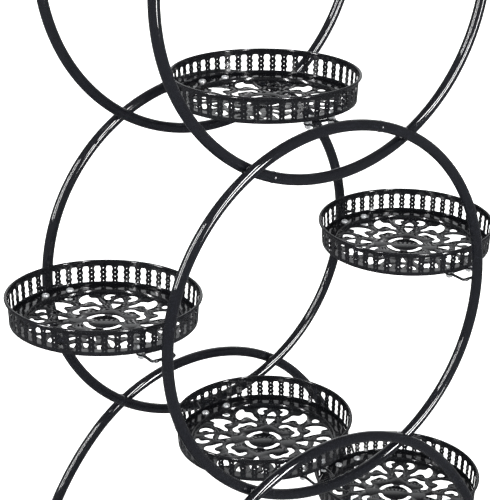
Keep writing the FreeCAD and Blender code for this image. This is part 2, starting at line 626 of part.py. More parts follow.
def trays():
    eyes = eye_places()
    screws, nuts, washers = tray_fasteners(eyes)
    pieces = {"rim": tray_rim(), "wall": tray_wall(), "floor": tray_floor(eyes),
              "screws": screws}
    nodes, all_nuts, all_washers = {}, [], []
    for name, x, height, reach, shift, turn, lean in tray_places():
        roll, tip = (f"sizes.{lean}_roll", f"sizes.{lean}_tip") if lean else ("0", "0")
        place = f"placement(vector({x}; 0; {height}); rotation({turn}; {roll}; {tip}))"

        def seat(node, shape):
            seated = group(node, [shape])
            seated.setExpression("Placement", place)
            return seated

        for piece, shape in pieces.items():
            nodes[f"{name}_{piece}"] = seat(f"{name}_{piece}", shape)
        for side, y_sign in (("front", "-1"), ("back", "1")):
            node = f"{name}_{side}_bracket"
            nodes[node] = seat(node, bracket(node, side, y_sign, reach[y_sign], shift))
        all_nuts.append(seat(f"{name}_nuts", nuts))
        all_washers.append(seat(f"{name}_washers", washers))
    nodes["tray_nuts"] = group("tray_nuts", all_nuts)
    nodes["tray_washers"] = group("tray_washers", all_washers)
    return nodes


def check_and_write(nodes):
    for thing in doc.Objects:
        if "Invalid" in thing.State or "Error" in thing.State:
            raise RuntimeError(f"{thing.Name} failed: {thing.State}")
    os.makedirs("parts", exist_ok=True)
    for name, node in nodes.items():
        node.Label = name
        solids = node.Shape.Solids
        if node.Shape.isNull() or not node.Shape.isValid() or not solids:
            raise RuntimeError(f"{name} has no valid solid")
        shape = solids[0] if len(solids) == 1 else Part.makeCompound(solids)
        shape.exportStep(f"parts/{name}.step")
        print(name, len(solids), round(shape.Volume, 1))


crossing_places = crossings()
nodes = {**frame_tubes(crossing_places), **foot_caps(), **crossing_fasteners(crossing_places),
         **trays()}
doc.recompute()
check_and_write(nodes)
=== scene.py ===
import math

import bmesh
import bpy
import numpy as np
from mathutils import Matrix, Vector


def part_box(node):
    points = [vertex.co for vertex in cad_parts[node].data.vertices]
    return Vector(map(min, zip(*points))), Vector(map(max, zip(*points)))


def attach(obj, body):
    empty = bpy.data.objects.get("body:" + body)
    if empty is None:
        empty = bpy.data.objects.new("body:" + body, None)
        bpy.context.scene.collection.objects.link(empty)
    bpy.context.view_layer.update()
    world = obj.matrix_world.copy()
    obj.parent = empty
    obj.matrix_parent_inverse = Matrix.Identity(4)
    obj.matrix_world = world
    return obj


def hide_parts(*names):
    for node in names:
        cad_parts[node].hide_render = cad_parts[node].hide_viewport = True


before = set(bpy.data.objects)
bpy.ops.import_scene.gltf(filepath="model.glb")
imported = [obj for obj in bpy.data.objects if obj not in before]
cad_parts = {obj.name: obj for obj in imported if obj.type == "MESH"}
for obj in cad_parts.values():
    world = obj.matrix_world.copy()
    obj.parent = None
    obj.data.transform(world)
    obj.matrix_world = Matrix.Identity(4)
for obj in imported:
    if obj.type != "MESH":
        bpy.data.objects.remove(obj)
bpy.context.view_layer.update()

# Tiered plant stand of bent steel tube with seven pierced trays. Metres, +Z up, the
# origin on the floor in the middle of the four feet.

MM = 0.001
TRAYS = ("top_tray", "upper_tray", "left_tray", "right_tray", "centre_tray", "low_left_tray",
         "low_right_tray")
TURNED_TRAYS = ("low_left_tray",)
SIDES = {"front": -1, "back": 1}

# frame tubes
TUBE_RADIUS = 6 * MM
RING_RADIUS = 205 * MM
LEG_RADIUS = 315 * MM
ARCH_TURN = math.radians(45)
CAP_FLANGE = 3 * MM
RING_STEPS = 288
TUBE_SIDES = 28
SEAM_RISE = 0.28 * MM
SEAM_WIDTH = 1.3 * MM
SEAM_POINTS = 25

# height that parts the upper crossings from the lower ones
CROSSING_SPLIT = 450 * MM

# degrees round each ring, from its right side, at which its butt weld stands
SEAMS = {"upper_ring_front": 250, "upper_ring_back": 292, "middle_ring_front": 74,
         "middle_ring_back": 104}

# trays, in millimetres above the level of the bracket's weld
RIM_RADIUS = 101.6
RIM_WIRE = 3.3
RIM_HEIGHT = 29.3
WALL_LOW = 2.2
WALL_FOOT = 98.5
SHEET = 0.8
OPENINGS = 48
OPENING_LOW = 6.7
OPENING_TOP = 24.6
COLUMN_HOLES = 4
COLUMN_HOLE = 1.35
COLUMN_FIRST = 7.6
COLUMN_STEP = 4.9
RECESS_RADIUS = 83.0
RECESS_SLOPE = 1.6
RECESS_SINK = 4.0
DISC_RADIUS = 16.7
ARC_SLOT_WIDTH = 5.0
ARC_SLOT_TURN = math.radians(66)
EDGE_BREAK = 0.3
PANEL_START = -0.35
PANEL_LEVELS = (12.0, 18.0)
FLOOR_STEPS = 208
FLOOR_FILLET = 1.5
SCALLOP_RISE = 0.55
SCALLOP_LEVEL = 0.35

# degrees that each tray's wall stands turned on its floor, as it was spot-welded
WALL_TURNS = {"upper_tray": 0.9, "left_tray": -3.3, "right_tray": -3.6, "centre_tray": 0.5,
              "low_right_tray": 2.2}

# brackets and fasteners, in millimetres
BRACKET_WIRE = 3.2
BRACKET_BEND = 2.6
EYE_DROP = 3.5
EYE_DIAMETER = 10.0
EYE_THICKNESS = 2.0
EYE_HOLE = 4.4
EYE_LIP = 0.5
WELD_INSET = 4.5
WELD_HALF = (3.4, 1.25, 1.9)
WELD_RIPPLE = 0.09
SCREW_SHANK = 4.0
SCREW_HEAD = 8.4
SCREW_HEAD_HEIGHT = 2.6
CROSSING_SHANK = 5.0
CROSSING_HEAD = 9.0
CROSSING_HEAD_HEIGHT = 3.0

# camera, from the photograph's perspective
CAMERA_PLACE = (-0.9440, -1.3272, 1.1060)
CAMERA_YAW = math.radians(34.65)
CAMERA_PITCH = math.radians(20.94)
FOCAL_PIXELS = 1573.0
PICTURE_WIDTH, PICTURE_HEIGHT = 490, 500
CENTRE_X, CENTRE_Y = 243.7, 252.0
SENSOR = 36.0

# lamps: degrees round from the camera's side, degrees up, width and height in metres, watts
LAMPS = {"right_low_strip": (48, 5, 0.20, 1.3, 46), "right_tall_strip": (26, 34, 0.16, 2.0, 52),
         "left_tall_strip": (-36, 26, 0.13, 1.6, 30), "left_side_strip": (-68, 26, 0.16, 1.6, 44)}
LAMP_DISTANCE = 2.8
STAND_MIDDLE = (0.0, 0.0, 0.5)

# air: its strength away from the glow and in it, and the cosines between which the glow begins
GLOW_RISE = math.radians(17)
GLOW_EDGES = (0.78, 0.99)
AIR_STRENGTH, GLOW_STRENGTH = 0.14, 0.80


# ---- shader maths and node trees -------------------------------------------------------

class Amount:
    """What a node gives out. Operators on it add Math nodes."""

    def __init__(self, tree, socket):
        self.tree, self.socket = tree, socket

    def maths(self, operation, *values):
        return self.tree.node("ShaderNodeMath", {"operation": operation}, dict(enumerate(values)))

    def __add__(self, other):
        return self.maths("ADD", self, other)

    def __rsub__(self, other):
        return self.maths("SUBTRACT", other, self)

    def __mul__(self, other):
        return self.maths("MULTIPLY", self, other)

    def __rtruediv__(self, other):
        return self.maths("DIVIDE", other, self)

    __radd__, __rmul__ = __add__, __mul__

    def between(self, low, high, start=0.0, end=1.0):
        """start below low, end above high, smooth in between."""
        return self.tree.node("ShaderNodeMapRange", {"interpolation_type": "SMOOTHSTEP"},
                              {0: self, 1: low, 2: high, 3: start, 4: end})


class NodeTree:
    """A tree whose nodes all come from one method."""

    def __init__(self, data):
        self.data = data

    def node(self, kind, settings, values, output=0):
        made = self.data.nodes.new(kind)
        for name, value in settings.items():
            setattr(made, name, value)
        for key, value in values.items():
            self.feed(made.inputs[key], value)
        return Amount(self, made.outputs[output])

    def feed(self, socket, value):
        if isinstance(value, Amount):
            self.data.links.new(value.socket, socket)
        else:
            socket.default_value = value


class Paint(NodeTree):
    """A node material built from Python expressions."""

    def __init__(self, name):
        self.material = bpy.data.materials.new(name)
        self.material.use_nodes = True
        super().__init__(self.material.node_tree)
        self.surface = self.data.nodes["Principled BSDF"]
        self.place = self.node("ShaderNodeTexCoord", {}, {}, output="Object")

    def noise(self, scale, detail=3.0):
        return self.node("ShaderNodeTexNoise", {}, {
            "Vector": self.place, "Scale": scale, "Detail": detail, "Roughness": 0.5})

    def cells(self, scale, output="Distance"):
        return self.node("ShaderNodeTexVoronoi", {}, {"Vector": self.place, "Scale": scale},
                         output=output)

    def mix(self, share, low, high):
        """From one colour to another."""
        return self.node("ShaderNodeMix", {"data_type": "RGBA"},
                         {0: share, 6: (*low, 1.0), 7: (*high, 1.0)}, output=2)

    def bump(self, height, distance, strength=1.0, under=None):
        values = {"Height": height, "Distance": distance, "Strength": strength}
        if under:
            values["Normal"] = under
        return self.node("ShaderNodeBump", {}, values)

    def finish(self, **sockets):
        for name, value in sockets.items():
            self.feed(self.surface.inputs[name.replace("_", " ")], value)
        return self.material


def gloss_black(name, dark, light, roughness, coat, orange_peel):
    """Stoved gloss enamel: flow ripple, faint clouds of dust and a few raised specks."""
    paint = Paint(name)
    cloud = paint.noise(9.0, detail=4.0)
    ripple = paint.noise(150.0, detail=1.0)
    dust = paint.noise(1900.0, detail=2.0).between(0.60, 0.78) * cloud.between(0.42, 0.66)
    specks = 1.0 - paint.cells(260.0).between(0.035, 0.075)
    specks = specks * paint.noise(31.0).between(0.55, 0.62)
    marks = dust * 0.35 + specks
    wear = marks.maths("MINIMUM", marks, 1.0)
    colour = paint.mix(cloud * 0.5 + wear * 0.5, dark, light)
    rough = roughness + cloud * 0.04 + specks * 0.08
    lumps = paint.bump(ripple, 0.00002 * orange_peel, 0.5)
    lumps = paint.bump(specks, 0.00002, 0.3, under=lumps)
    return paint.finish(Base_Color=colour, Roughness=rough, Normal=lumps,
                        Coat_Weight=coat, Coat_Roughness=0.04, IOR=1.5)


def zinc_plate():
    """Bright zinc on the screws, nuts and washers, with its crystals and a little dulling."""
    paint = Paint("zinc_plate")
    crystals = paint.cells(520.0, output="Color")
    crystal = paint.node("ShaderNodeSeparateColor", {}, {0: crystals})
    dull = paint.noise(240.0, detail=4.0)
    colour = paint.mix(crystal * 0.4 + dull.between(0.35, 0.7) * 0.6, (0.80, 0.81, 0.82),
                       (0.46, 0.47, 0.49))
    rough = 0.20 + crystal * 0.12 + dull.between(0.4, 0.75) * 0.22
    lumps = paint.bump(dull, 0.00006, 0.6)
    metal = 0.72 - dull.between(0.35, 0.7) * 0.16
    return paint.finish(Base_Color=colour, Roughness=rough, Normal=lumps, Metallic=metal)


def cap_plastic():
    """Moulded black plastic with a fine spark-eroded grain."""
    paint = Paint("cap_plastic")
    grain = paint.noise(2600.0, detail=3.0)
    scuff = paint.noise(130.0, detail=5.0).between(0.5, 0.72)
    colour = paint.mix(scuff, (0.014, 0.014, 0.015), (0.045, 0.044, 0.043))
    rough = 0.46 + scuff * 0.2 + grain * 0.08
    return paint.finish(Base_Color=colour, Roughness=rough, Normal=paint.bump(grain, 0.00012))


FRAME_PAINT = gloss_black("frame_enamel", (0.0035, 0.0038, 0.0052), (0.0075, 0.008, 0.010),
                          0.05, 0.5, 1.0)
TRAY_PAINT = gloss_black("tray_enamel", (0.0035, 0.0036, 0.0046), (0.0085, 0.009, 0.010),
                         0.10, 0.3, 1.3)
ZINC = zinc_plate()
PLASTIC = cap_plastic()


# ---- meshes ----------------------------------------------------------------------------

def put_in_scene(name, data):
    made = bpy.data.objects.new(name, data)
    bpy.context.scene.collection.objects.link(made)
    return made


def new_object(name, vertices, faces, scale=1.0):
    mesh = bpy.data.meshes.new(name)
    mesh.from_pydata([tuple(scale * np.asarray(v, float)) for v in vertices], [], faces)
    mesh.validate()
    return put_in_scene(name, mesh)


def shade(piece, sharp_degrees=35.0):
    piece.data.shade_smooth()
    piece.data.set_sharp_from_angle(angle=math.radians(sharp_degrees))
    return piece


def face_outwards(piece):
    work = bmesh.new()
    work.from_mesh(piece.data)
    bmesh.ops.remove_doubles(work, verts=work.verts, dist=1e-6)
    bmesh.ops.recalc_face_normals(work, faces=work.faces)
    work.to_mesh(piece.data)
    work.free()
    return piece


def carry(piece, material, slot, *nodes):
    """Gives a finished piece its finish and lets it stand for its nodes."""
    piece.data.materials.clear()
    piece.data.materials.append(material)
    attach(piece, "root")
    if nodes:
        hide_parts(*nodes)
    return piece


def join(name, pieces):
    """One mesh out of several."""
    work = bmesh.new()
    for piece in pieces:
        work.from_mesh(piece.data)
    mesh = bpy.data.meshes.new(name)
    work.to_mesh(mesh)
    work.free()
    for piece in pieces:
        bpy.data.objects.remove(piece)
    return put_in_scene(name, mesh)


def sweep(name, path, normal, radius, closed, sides=TUBE_SIDES):
    """A round section along a flat path. radius is one number, or one for each point."""
    path = np.asarray(path, float)
    count = len(path)
    radii = np.broadcast_to(np.asarray(radius, float), (count,))
    if closed:
        along = np.roll(path, -1, 0) - np.roll(path, 1, 0)
    else:
        along = np.gradient(path, axis=0)
    along /= np.linalg.norm(along, axis=1)[:, None]
    normal = np.asarray(normal, float) / np.linalg.norm(normal)
    across = np.cross(along, normal)
    turns = 2 * math.pi * np.arange(sides) / sides
    section = (np.cos(turns)[None, :, None] * across[:, None, :]
               + np.sin(turns)[None, :, None] * normal[None, None, :])
    vertices = (path[:, None, :] + radii[:, None, None] * section).reshape(-1, 3).tolist()
    faces = []
    for k in range(count if closed else count - 1):
        here, there = k * sides, (k + 1) % count * sides
        for n in range(sides):
            m = (n + 1) % sides
            faces.append((here + n, there + n, there + m, here + m))
    if not closed:
        faces.append(tuple(range(sides)))
        faces.append(tuple(reversed(range((count - 1) * sides, count * sides))))
    return face_outwards(new_object(name, vertices, faces))


def lathe(name, profile, sides=32):
    """Turns (radius, height) points about +Z. A radius of 0 is a closed pole."""
    vertices, rows = [], []
    for radius, height in profile:
        ring = []
        for n in range(1 if radius == 0 else sides):
            turn = 2 * math.pi * n / sides
            ring.append(len(vertices))
            vertices.append((radius * math.cos(turn), radius * math.sin(turn), height))
        rows.append(ring)
    faces = []
    for low, high in zip(rows, rows[1:]):
        for n in range(sides):
            m = (n + 1) % sides
            corners = [low[n % len(low)], low[m % len(low)], high[m % len(high)],
                       high[n % len(high)]]
            faces.append(tuple(dict.fromkeys(corners)))
    return new_object(name, vertices, [f for f in faces if len(f) > 2])


def rounded(corners, bend, steps=5):
    """A closed path with its corners bent to short curves."""
    corners = [np.asarray(c, float) for c in corners]
    path = []
    for k, corner in enumerate(corners):
        before, after = corners[k - 1] - corner, corners[(k + 1) % len(corners)] - corner
        start = corner + before / np.linalg.norm(before) * bend
        end = corner + after / np.linalg.norm(after) * bend
        for t in np.linspace(0, 1, steps):
            path.append((1 - t) ** 2 * start + 2 * t * (1 - t) * corner + t ** 2 * end)
    return path


# ---- copies, made with geometry nodes --------------------------------------------------

class CopyTree(NodeTree):
    """A geometry tree with named inputs, which ends in real copies with one finish."""

    def __init__(self, name, **sockets):
        super().__init__(bpy.data.node_groups.new(name, "GeometryNodeTree"))
        face = self.data.interface
        face.new_socket("Geometry", in_out="OUTPUT", socket_type="NodeSocketGeometry")
        for socket, kind in {"Geometry": "Geometry", **sockets, "Finish": "Material"}.items():
            face.new_socket(socket, in_out="INPUT", socket_type="NodeSocket" + kind)

    def given(self, name):
        return self.node("NodeGroupInput", {}, {}, output=name)

    def copies(self, points, piece, turn):
        """A real copy of the piece on each point."""
        placed = self.node("GeometryNodeInstanceOnPoints", {}, {
            "Points": points, "Instance": piece, "Rotation": turn})
        return self.node("GeometryNodeRealizeInstances", {}, {0: placed})

    def end(self, geometry):
        painted = self.node("GeometryNodeSetMaterial", {}, {
            "Geometry": geometry, "Material": self.given("Finish")})
        self.feed(self.data.nodes.new("NodeGroupOutput").inputs[0], painted)
        return self.data


def ring_of_copies():
    """The incoming mesh, repeated round the Z axis and joined at its edges."""
    tree = CopyTree("ring_of_copies", Count="Int", Join="Float")
    points = tree.node("GeometryNodePoints", {}, {"Count": tree.given("Count")})
    turn = tree.node("GeometryNodeInputIndex", {}, {}) * (2 * math.pi / tree.given("Count"))
    about = tree.node("ShaderNodeCombineXYZ", {}, {"Z": turn})
    real = tree.copies(points, tree.given("Geometry"), about)
    return tree.end(tree.node("GeometryNodeMergeByDistance", {}, {
        "Geometry": real, "Distance": tree.given("Join")}))


def copies_on_places():
    """A master object on each point of the incoming mesh, turned as the point says."""
    tree = CopyTree("copies_on_places", Master="Object")
    master = tree.node("GeometryNodeObjectInfo", {}, {"Object": tree.given("Master")},
                       output="Geometry")
    turn = tree.node("GeometryNodeInputNamedAttribute", {"data_type": "FLOAT_VECTOR"},
                     {"Name": "turn"})
    return tree.end(tree.copies(tree.given("Geometry"), master, turn))


def grow(piece, tree, **values):
    """Runs a geometry tree on a piece and keeps its result as a plain mesh."""
    modifier = piece.modifiers.new(tree.name, "NODES")
    modifier.node_group = tree
    for item in tree.interface.items_tree:
        if item.in_out == "INPUT" and item.name in values:
            modifier[item.identifier] = values[item.name]
    depsgraph = bpy.context.evaluated_depsgraph_get()
    mesh = bpy.data.meshes.new_from_object(piece.evaluated_get(depsgraph), depsgraph=depsgraph)
    piece.modifiers.clear()
    piece.data = mesh
    return piece


RING_TREE = ring_of_copies()
PLACES_TREE = copies_on_places()


def scatter(name, master, places, material):
    """Copies of a master at matrices, as one mesh. The master is used up."""
    piece = new_object(name, [m.to_translation() for m in places], [])
    turn = piece.data.attributes.new("turn", "FLOAT_VECTOR", "POINT")
    turn.data.foreach_set("vector", [a for m in places for a in m.to_euler()])
    grow(piece, PLACES_TREE, Master=master, Finish=material)
    bpy.data.objects.remove(master)
    return piece


# ---- where each tray is ----------------------------------------------------------------

def points_of(node):
    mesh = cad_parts[node].data
    points = np.zeros(3 * len(mesh.vertices), np.float32)
    mesh.vertices.foreach_get("co", points)
    return points.reshape(-1, 3).astype(float)


def tray_matrix(tray):
    """Tray axes from its rim: origin at the level of the bracket's weld, Z through the tray."""
    rim = points_of(tray + "_rim")
    middle = (rim.min(0) + rim.max(0)) / 2
    up = np.linalg.svd(rim - rim.mean(0), full_matrices=False)[2][2]
    up = up * np.sign(up[2])
    right = np.array([up[2], 0.0, -up[0]]) / math.hypot(up[0], up[2])
    if tray in TURNED_TRAYS:
        right = -right
    back = np.cross(up, right)
    origin = middle - up * RIM_HEIGHT * MM
    matrix = Matrix.Identity(4)
    for k, axis in enumerate((right, back, up, origin)):
        for row in range(3):
            matrix[row][k] = axis[row]
    return matrix


def in_tray(tray, node):
    """A node's points in millimetres, seen from its tray."""
    inverse = np.array(MATRICES[tray].inverted())
    return (points_of(node) @ inverse[:3, :3].T + inverse[:3, 3]) / MM


MATRICES = {tray: tray_matrix(tray) for tray in TRAYS}


def screw_places(tray):
    """Centre (x, y) of each screw in its tray, front pair first, left before right."""
    points = in_tray(tray, tray + "_screws")
    places = []
    for side in (-1, 1):
        row = points[points[:, 1] * side > 0]
        middle = (row[:, 0].min() + row[:, 0].max()) / 2
        for hand in (-1, 1):
            one = row[(row[:, 0] - middle) * hand > 0]
            low, high = one.min(0), one.max(0)
            places.append((side, (low[0] + high[0]) / 2, (low[1] + high[1]) / 2))
    return places


# ---- frame tubes -----------------------------------------------------------------------

def with_seam(angles, seam):
    """Adds points close together about the seam, and gives the weld's rise at each point."""
    near = seam + np.linspace(-3, 3, SEAM_POINTS) * SEAM_WIDTH / RING_RADIUS
    angles = np.sort(np.concatenate([angles[np.abs(angles - seam) > 4 * SEAM_WIDTH / RING_RADIUS],
                                     near]))
    along = (angles - seam) * RING_RADIUS / SEAM_WIDTH
    return angles, SEAM_RISE * np.exp(-along ** 2) * (1 + 0.25 * np.cos(2.4 * along))


def ring_tube(node, seam_degrees):
    """A bent ring with the low ground-down bead of its butt weld."""
    low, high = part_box(node)
    centre = (low + high) / 2
    angles = np.linspace(0, 2 * math.pi, RING_STEPS, endpoint=False)
    angles, rise = with_seam(angles, math.radians(seam_degrees % 360))
    path = np.column_stack([centre.x + RING_RADIUS * np.cos(angles),
                            np.full(len(angles), centre.y),
                            centre.z + RING_RADIUS * np.sin(angles)])
    tube = sweep(node + "_tube", path, (0, 1, 0), TUBE_RADIUS + rise, closed=True)
    return carry(shade(tube), FRAME_PAINT, "frame_paint", node)


def arch_tube(node):
    """The base arch: ring arc on top, wider arcs below it, then short upright legs."""
    low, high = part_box(node)
    y, top = (low.y + high.y) / 2, high.z - TUBE_RADIUS - RING_RADIUS
    shift = (LEG_RADIUS - RING_RADIUS) * math.sin(ARCH_TURN)
    shoulder = top - (LEG_RADIUS - RING_RADIUS) * math.cos(ARCH_TURN)
    foot = LEG_RADIUS - shift
    half = [(foot, z) for z in np.linspace(CAP_FLANGE, shoulder, 4)[:-1]]
    half += [(LEG_RADIUS * math.cos(a) - shift, shoulder + LEG_RADIUS * math.sin(a))
             for a in np.linspace(0, math.pi / 2 - ARCH_TURN, 56)[:-1]]
    half += [(RING_RADIUS * math.cos(a), top + RING_RADIUS * math.sin(a))
             for a in np.linspace(math.pi / 2 - ARCH_TURN, math.pi / 2, 44)]
    path = [(x, y, z) for x, z in half] + [(-x, y, z) for x, z in reversed(half[:-1])]
    tube = sweep(node + "_tube", path, (0, 1, 0), TUBE_RADIUS, closed=False)
    return carry(shade(tube), FRAME_PAINT, "frame_paint", node)


def foot_cap(node):
    """Ribbed push-in cap: rounded flange under the tube, plug inside it."""
    low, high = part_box(node)
    radius, plug = (high.x - low.x) / 2, TUBE_RADIUS - 1.1 * MM
    profile = [(0, 0), (radius - 1.0 * MM, 0), (radius - 0.3 * MM, 0.3 * MM), (radius, 1.0 * MM),
               (radius, CAP_FLANGE - 0.8 * MM), (radius - 0.25 * MM, CAP_FLANGE - 0.2 * MM),
               (radius - 0.9 * MM, CAP_FLANGE), (plug, CAP_FLANGE)]
    height = high.z - low.z
    for rib in np.linspace(CAP_FLANGE + 2 * MM, height - 3 * MM, 4):
        profile += [(plug - 0.4 * MM, rib), (plug, rib + 0.5 * MM), (plug - 0.4 * MM, rib + 1 * MM)]
    profile += [(plug - 0.8 * MM, height), (0, height)]
    cap = lathe(node + "_moulding", profile, sides=40)
    cap.data.transform(Matrix.Translation(((low.x + high.x) / 2, (low.y + high.y) / 2, low.z)))
    return carry(shade(face_outwards(cap)), PLASTIC, "cap_plastic", node)


# ---- trays -----------------------------------------------------------------------------

def wall_radius(height):
    """Outside of the wall at a height: a band that widens a little to the rim."""
    share = (height - WALL_LOW) / (RIM_HEIGHT - WALL_LOW)
    return WALL_FOOT + share * (RIM_RADIUS - RIM_WIRE / 2 - WALL_FOOT)


def baluster_outline():
    """Half width of an upright opening against its height, foot to top, both from 0 to 1."""
    return [(0.0, 3.25), (0.035, 3.5), (0.13, 3.6), (0.20, 3.2), (0.26, 2.6), (0.31, 2.65),
            (0.37, 3.4), (0.43, 3.65), (0.50, 3.5), (0.56, 2.8), (0.61, 2.55), (0.67, 2.8),
            (0.75, 3.5), (0.83, 3.55), (0.92, 3.0), (0.98, 2.6), (1.0, 2.0)]


def panel_loops(pitch):
    """Outline of one panel of the unrolled wall, its opening and its column's small holes."""
    left, right = PANEL_START * pitch, (1 + PANEL_START) * pitch
    middle = (left + right) / 2
    levels = (WALL_LOW, OPENING_LOW, *PANEL_LEVELS, OPENING_TOP, RIM_HEIGHT)
    outline = [(left, z) for z in reversed(levels)] + [(middle, WALL_LOW)]
    outline += [(right, z) for z in levels] + [(middle, RIM_HEIGHT)]
    half = [(w, OPENING_LOW + t * (OPENING_TOP - OPENING_LOW)) for t, w in baluster_outline()]
    opening = half + [(-w, z) for w, z in reversed(half)]
    holes = [opening]
    for number in range(COLUMN_HOLES):
        z = COLUMN_FIRST + number * COLUMN_STEP
        holes.append([(pitch / 2 + COLUMN_HOLE / 2 * math.cos(t), z + COLUMN_HOLE / 2 * math.sin(t))
                      for t in np.linspace(0, 2 * math.pi, 8, endpoint=False)])
    return outline, holes


def fill(outline, holes):
    """Triangles between an outline and its holes, as flat points and faces."""
    work = bmesh.new()
    loops, edges = [], []
    for loop in [outline] + holes:
        corners = [work.verts.new((x, y, 0)) for x, y in loop]
        loops.append(corners)
        edges += [work.edges.new((corners[k - 1], corners[k])) for k in range(len(corners))]
    bmesh.ops.triangle_fill(work, use_beauty=True, use_dissolve=False, edges=edges)
    work.verts.index_update()
    points = [(v.co.x, v.co.y) for v in work.verts]
    faces = []
    for face in work.faces:
        face.normal_update()
        corners = [v.index for v in face.verts]
        faces.append(corners if face.normal.z > 0 else corners[::-1])
    loops = [[v.index for v in loop] for loop in loops]
    work.free()
    return points, faces, loops


def pierced_wall(tray):
    """One pressed panel with a baluster-shaped opening, repeated round the tray."""
    middle = (wall_radius(WALL_LOW) + wall_radius(RIM_HEIGHT)) / 2
    points, faces, loops = fill(*panel_loops(2 * math.pi * middle / OPENINGS))
    count = len(points)
    vertices = []
    for inset in (0, SHEET):
        for across, height in points:
            turn, radius = across / middle, wall_radius(height) - inset
            vertices.append((radius * math.cos(turn), radius * math.sin(turn), height))
    sides = [tuple(count + v for v in reversed(face)) for face in faces]
    for loop in loops[1:]:
        for k in range(len(loop)):
            sides.append((loop[k - 1], loop[k], loop[k] + count, loop[k - 1] + count))
    foot = [v for v in loops[0] if abs(points[v][1] - WALL_LOW) < 1e-6]
    foot.sort(key=lambda v: points[v][0])
    for a, b in zip(foot, foot[1:]):
        sides.append((a, b, b + count, a + count))
    wall = new_object(tray + "_pierced_wall", vertices, faces + sides, scale=MM)
    grow(wall, RING_TREE, Count=OPENINGS, Join=2e-6, Finish=TRAY_PAINT)
    turn = math.radians(WALL_TURNS.get(tray, 0.0))
    wall.data.transform(MATRICES[tray] @ Matrix.Rotation(turn, 4, "Z"))
    return carry(shade(face_outwards(wall)), TRAY_PAINT, "tray_paint", tray + "_wall")


def rolled_rim(tray):
    """The rim is rolled round a wire, with the sheet's edge tucked in under it; here drawn as a
    plain round tube.
    """
    steps = np.linspace(0, 2 * math.pi, 192, endpoint=False)
    path = np.column_stack([RIM_RADIUS * np.cos(steps), RIM_RADIUS * np.sin(steps),
                            np.full(len(steps), RIM_HEIGHT)]) * MM
    rim = sweep(tray + "_rolled_rim", path, (0, 0, 1), RIM_WIRE / 2 * MM, closed=True, sides=14)
    rim.data.transform(MATRICES[tray])
    return carry(shade(rim), TRAY_PAINT, "tray_paint", tray + "_rim")


def smooth_loop(points, steps=3):
    """A closed smooth line through the points."""
    points = np.asarray(points, float)
    line = []
    for k in range(len(points)):
        p, a, b, q = (points[(k + n) % len(points)] for n in (-1, 0, 1, 2))
        for t in np.arange(steps) / steps:
            line.append(0.5 * (2 * a + (b - p) * t + (2 * p - 5 * a + 4 * b - q) * t * t
                               + (3 * a - p - 3 * b + q) * t ** 3))
    return [tuple(point) for point in line]


def arc_slot():
    """A slot with round ends beside the plain disc, on the +Y side."""
    middle, half = DISC_RADIUS + ARC_SLOT_WIDTH / 2, ARC_SLOT_WIDTH / 2
    bend = ARC_SLOT_TURN / 2 - half / middle
    up = math.pi / 2

    def arc(radius, start, end):
        return [(radius * math.cos(t), radius * math.sin(t)) for t in np.linspace(start, end, 8)]

    def end_round(turn, start):
        x, y = middle * math.cos(turn), middle * math.sin(turn)
        return [(x + half * math.cos(start + t), y + half * math.sin(start + t))
                for t in np.linspace(0, math.pi, 6)[1:-1]]

    return (arc(middle + half, up - bend, up + bend) + end_round(up + bend, up + bend)
            + arc(middle - half, up + bend, up - bend) + end_round(up - bend, up - bend + math.pi))


def mirrored(loop):
    return [(-x, y) for x, y in reversed(loop)]


def across_diagonal(loop):
    return [(y, x) for x, y in reversed(loop)]


def floor_cutouts():
    """The traditional scroll pattern: one quarter's cut-outs, turned four times."""
    crown_half = [(0, 49.2), (3.2, 46.0), (8, 44.8), (12.6, 43.6), (15.2, 40), (15.2, 35.2),
                  (12.7, 31.7), (10.4, 33.6), (9.6, 38), (7, 40.6), (3.4, 41.0)]
    crown = crown_half + [(0, 40.4)] + [(-x, y) for x, y in reversed(crown_half[1:])]
    axe = [(22.3, 76.4), (16.5, 75.4), (10, 70.5), (6, 63.5), (5.3, 57), (8.4, 56.2), (12.5, 58),
           (16.4, 57), (18.4, 53), (18.8, 46.5), (21.2, 42.4), (23.6, 45.5), (24.6, 54),
           (27.2, 61.5), (25.4, 65), (22.6, 67.2), (22.2, 71), (23.6, 75)]
    drop = [(0, 79.8), (3.4, 79.2), (4.3, 76.6), (2.6, 73), (0, 71.4), (-2.6, 73), (-4.3, 76.6),
            (-3.4, 79.2)]
    inner_fan = [(27, 27), (29.2, 32.8), (32.6, 40), (36.8, 36.8), (40, 32.6), (32.8, 29.2)]
    outer_fan = [(38.2, 45.6), (43.5, 48.6), (49.4, 49.4), (48.6, 43.5), (45.6, 38.2),
                 (42.2, 42.2)]
    kidney = [(34, 52.6), (33.8, 58), (37.2, 63.4), (42.6, 65.4), (47.0, 63.2), (48.8, 60.0),
              (46.8, 58.6), (43.4, 59.6), (40.4, 57.4), (39, 53.2), (36.4, 51)]
    quarter = [arc_slot(), smooth_loop(crown, 2), smooth_loop(axe, 2), smooth_loop(mirrored(axe), 2),
               smooth_loop(drop), smooth_loop(inner_fan), smooth_loop(outer_fan),
               smooth_loop(kidney, 2), smooth_loop(across_diagonal(kidney), 2)]
    loops = []
    for turn in range(4):
        c, s = round(math.cos(turn * math.pi / 2)), round(math.sin(turn * math.pi / 2))
        loops += [[(c * x - s * y, s * x + c * y) for x, y in loop] for loop in quarter]
    return loops


def widened(loop, distance):
    """The loop moved outwards along its normals."""
    points = np.asarray(loop)
    along = np.roll(points, -1, 0) - np.roll(points, 1, 0)
    normal = np.column_stack([along[:, 1], -along[:, 0]])
    normal /= np.linalg.norm(normal, axis=1)[:, None]
    following = np.roll(points, -1, 0)
    area = np.sum(points[:, 0] * following[:, 1] - following[:, 0] * points[:, 1])
    return [tuple(p) for p in points + normal * distance * np.sign(area)]


def circle(radius, steps):
    return [(radius * math.cos(t), radius * math.sin(t))
            for t in np.linspace(0, 2 * math.pi, steps, endpoint=False)]


